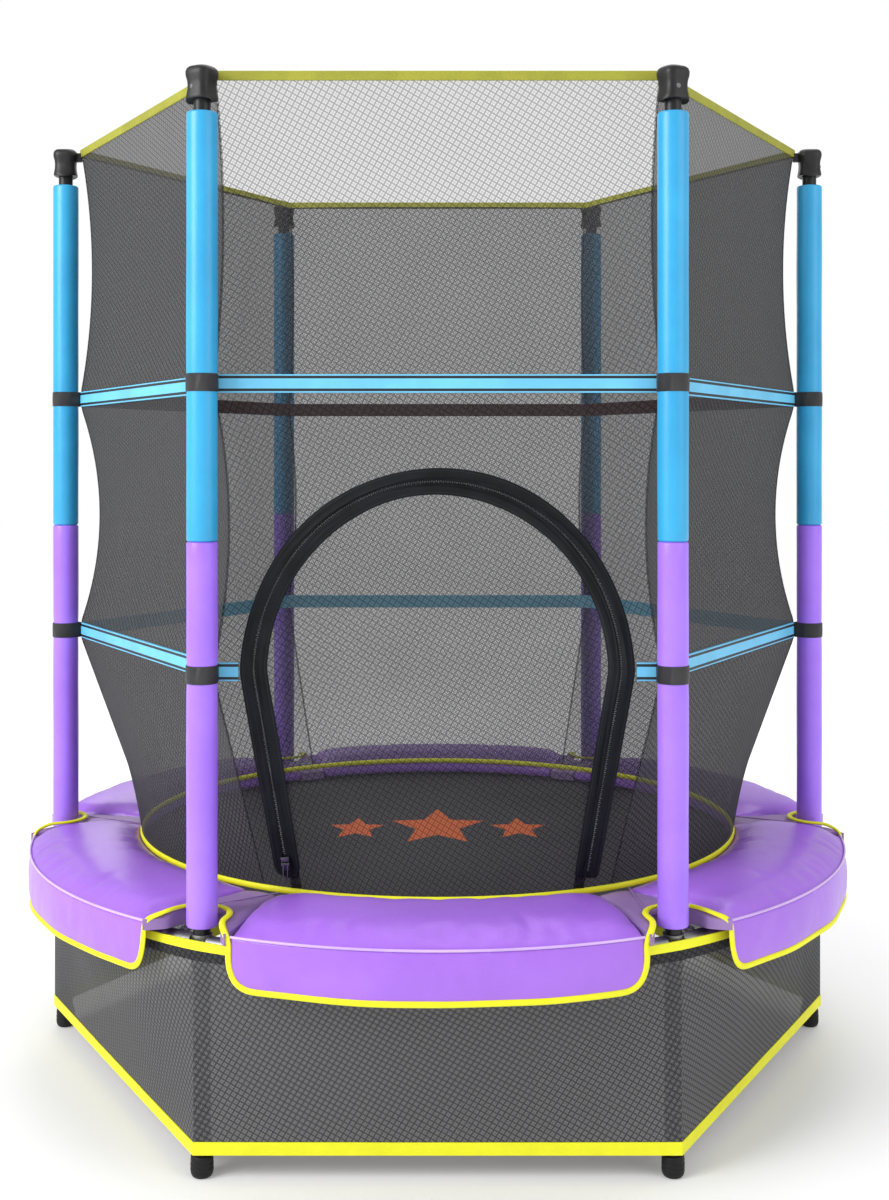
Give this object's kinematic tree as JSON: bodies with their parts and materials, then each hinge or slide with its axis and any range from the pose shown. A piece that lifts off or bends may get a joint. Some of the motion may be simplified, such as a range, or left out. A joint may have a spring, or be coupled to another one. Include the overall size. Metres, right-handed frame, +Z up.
{
  "type": "trampoline",
  "caption": "Junior trampoline with a padded ring frame, foam-sleeved poles, a hexagonal safety net with a zipped arch doorway, and a mesh skirt.",
  "frame": {"origin": "middle of the six feet, on the floor", "axes": "+Z up, -Y towards the doorway side, +X to the right of a person who faces the doorway"},
  "size_m": [1.4378, 1.446, 1.6],
  "materials": {
    "galvanised_steel": "satin",
    "black_steel": "satin",
    "black_rubber": "matte",
    "purple_foam": "satin",
    "blue_foam": "satin",
    "cap_plastic": "satin",
    "mat_fabric": "matte",
    "pad_cover": "satin",
    "net_mesh": "matte",
    "skirt_mesh": "matte",
    "belt_webbing": "matte",
    "door_band_cloth": "matte",
    "zip_metal": "satin"
  },
  "bodies": {
    "frame": {"rail_back_right_side": "galvanised_steel", "rail_back": "galvanised_steel", "rail_back_left_side": "galvanised_steel", "rail_front_left_side": "galvanised_steel", "rail_front": "galvanised_steel", "rail_front_right_side": "galvanised_steel", "leg_right": "black_steel", "leg_back_right": "black_steel", "leg_back_left": "black_steel", "leg_left": "black_steel", "leg_front_left": "black_steel", "leg_front_right": "black_steel", "foot_right": "black_rubber", "foot_back_right": "black_rubber", "foot_back_left": "black_rubber", "foot_left": "black_rubber", "foot_front_left": "black_rubber", "foot_front_right": "black_rubber", "pole_right": "black_steel", "pole_back_right": "black_steel", "pole_back_left": "black_steel", "pole_left": "black_steel", "pole_front_left": "black_steel", "pole_front_right": "black_steel", "foam_lower_right": "purple_foam", "foam_lower_back_right": "purple_foam", "foam_lower_back_left": "purple_foam", "foam_lower_left": "purple_foam", "foam_lower_front_left": "purple_foam", "foam_lower_front_right": "purple_foam", "foam_upper_right": "blue_foam", "foam_upper_back_right": "blue_foam", "foam_upper_back_left": "blue_foam", "foam_upper_left": "blue_foam", "foam_upper_front_left": "blue_foam", "foam_upper_front_right": "blue_foam", "cap_right": "cap_plastic", "cap_back_right": "cap_plastic", "cap_back_left": "cap_plastic", "cap_left": "cap_plastic", "cap_front_left": "cap_plastic", "cap_front_right": "cap_plastic", "frame_pad": "pad_cover", "skirt": "skirt_mesh", "net_back_right_side": "net_mesh", "net_back": "net_mesh", "net_back_left_side": "net_mesh", "net_front_left_side": "net_mesh", "net_front": "net_mesh", "net_front_right_side": "net_mesh", "door_band": "door_band_cloth", "belt_upper": "belt_webbing", "belt_lower": "belt_webbing"},
    "mat": {"jump_mat": "mat_fabric"},
    "door_flap": {"door_panel": "net_mesh"},
    "slider": {"zip_slider": "zip_metal"},
    "pull": {"zip_pull": "zip_metal"}
  },
  "joints": [
    {"name": "mat_bounce", "type": "slide", "parent": "frame", "child": "mat", "axis": [0, 0, 1], "range_m": [-0.15, 0], "stiffness_N_per_m": 4000, "springref_m": 0.01},
    {"name": "door_fold", "type": "hinge", "parent": "frame", "child": "door_flap", "pos_m": [0, -0.478, 0.386], "axis": [-1, 0, 0], "range_deg": [0, 90]},
    {"name": "zip_slide", "type": "slide", "parent": "frame", "child": "slider", "axis": [-0.1314, -0.2323, 0.9637], "range_m": [0, 0.24]},
    {"name": "pull_swing", "type": "hinge", "parent": "slider", "child": "pull", "pos_m": [-0.22771, -0.50891, 0.428], "axis": [-1, 0, 0], "range_deg": [-8, 150]}
  ]
}
